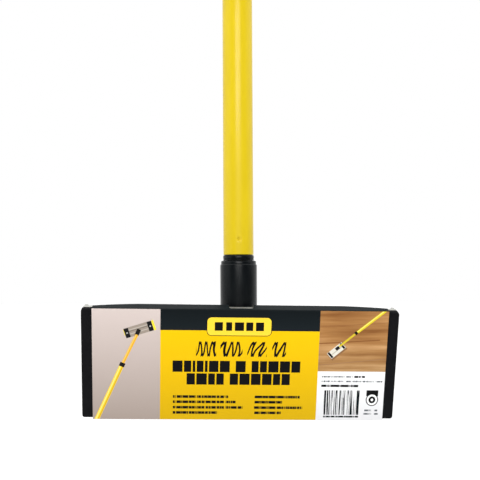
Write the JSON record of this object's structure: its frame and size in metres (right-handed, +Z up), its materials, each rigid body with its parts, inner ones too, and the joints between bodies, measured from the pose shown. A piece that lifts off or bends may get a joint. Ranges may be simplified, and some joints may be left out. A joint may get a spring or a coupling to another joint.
{
  "type": "pole drywall sander",
  "caption": "Flat rectangular sanding head on a two-axis swivel, with end paper clamps and a card sleeve, on a telescopic tube with a twist lock and a hanging cap.",
  "frame": {"origin": "centre of the hanging hole in the end cap", "axes": "+Z up along the pole, +X along the sanding head, -Y the side that the pad faces"},
  "size_m": [0.2364, 0.0569, 0.9623],
  "materials": {
    "foam": "matte black closed-cell foam",
    "aluminium": "satin mill finish",
    "black_plastic": "moulded, low sheen",
    "zinc": "bright zinc plating",
    "yellow_paint": "yellow powder coat with a soft gloss",
    "grey_plastic": "moulded nylon",
    "card": "printed and varnished card"
  },
  "bodies": {
    "pole": {"outer_tube": "yellow_paint", "tube_collar": "black_plastic", "end_cap": "black_plastic"},
    "expander": {"lock_expander": "grey_plastic"},
    "inner_pole": {"inner_tube": "yellow_paint", "lock_spindle": "grey_plastic", "retainer_clip": "zinc", "pole_ferrule": "black_plastic", "pole_socket": "black_plastic", "roll_bolt": "zinc", "roll_nut": "zinc"},
    "block": {"swivel_block": "black_plastic"},
    "head": {"base_plate": "aluminium", "foam_pad": "foam", "swivel_base": "black_plastic", "base_rivet_1": "zinc", "base_rivet_2": "zinc", "base_rivet_3": "zinc", "base_rivet_4": "zinc", "pitch_bolt": "zinc", "pitch_nut": "zinc", "clamp_stud_left": "zinc", "clamp_stud_right": "zinc", "card_sleeve": "card"},
    "clamp_left": {"clamp_bar_left": "black_plastic", "clamp_washer_left": "zinc"},
    "clamp_right": {"clamp_bar_right": "black_plastic", "clamp_washer_right": "zinc"},
    "nut_left": {"wing_nut_left": "zinc"},
    "nut_right": {"wing_nut_right": "zinc"}
  },
  "joints": [
    {"name": "telescope", "type": "slide", "parent": "pole", "child": "expander", "axis": [0, 0, 1], "range_m": [-0.21, 0.22]},
    {"name": "twist_lock", "type": "hinge", "parent": "expander", "child": "inner_pole", "pos_m": [0, 0, -0.3], "axis": [0, 0, 1], "range_deg": [-90, 90]},
    {"name": "roll", "type": "hinge", "parent": "inner_pole", "child": "block", "pos_m": [0, 0, -0.878], "axis": [0, 1, 0], "range_deg": [-45, 45]},
    {"name": "pitch", "type": "hinge", "parent": "block", "child": "head", "pos_m": [-0.00038, 0, -0.9], "axis": [0.9998, 0, -0.0175], "range_deg": [-5, 146]},
    {"name": "clamp_lift_left", "type": "slide", "parent": "head", "child": "clamp_left", "axis": [0.0048, 0.9613, 0.2756], "range_m": [0, 0.005]},
    {"name": "wing_nut_turn_left", "type": "hinge", "parent": "clamp_left", "child": "nut_left", "pos_m": [-0.09837, 0, -0.89829], "axis": [0.0048, 0.9613, 0.2756], "range_deg": [0, 1800]},
    {"name": "clamp_lift_right", "type": "slide", "parent": "head", "child": "clamp_right", "axis": [0.0048, 0.9613, 0.2756], "range_m": [0, 0.005]},
    {"name": "wing_nut_turn_right", "type": "hinge", "parent": "clamp_right", "child": "nut_right", "pos_m": [0.0976, 0, -0.90171], "axis": [0.0048, 0.9613, 0.2756], "range_deg": [0, 1800]}
  ],
  "couplings": [
    {"joint": "clamp_lift_left", "follows": "wing_nut_turn_left", "m_per_rad": 0.00015915},
    {"joint": "clamp_lift_right", "follows": "wing_nut_turn_right", "m_per_rad": 0.00015915}
  ]
}
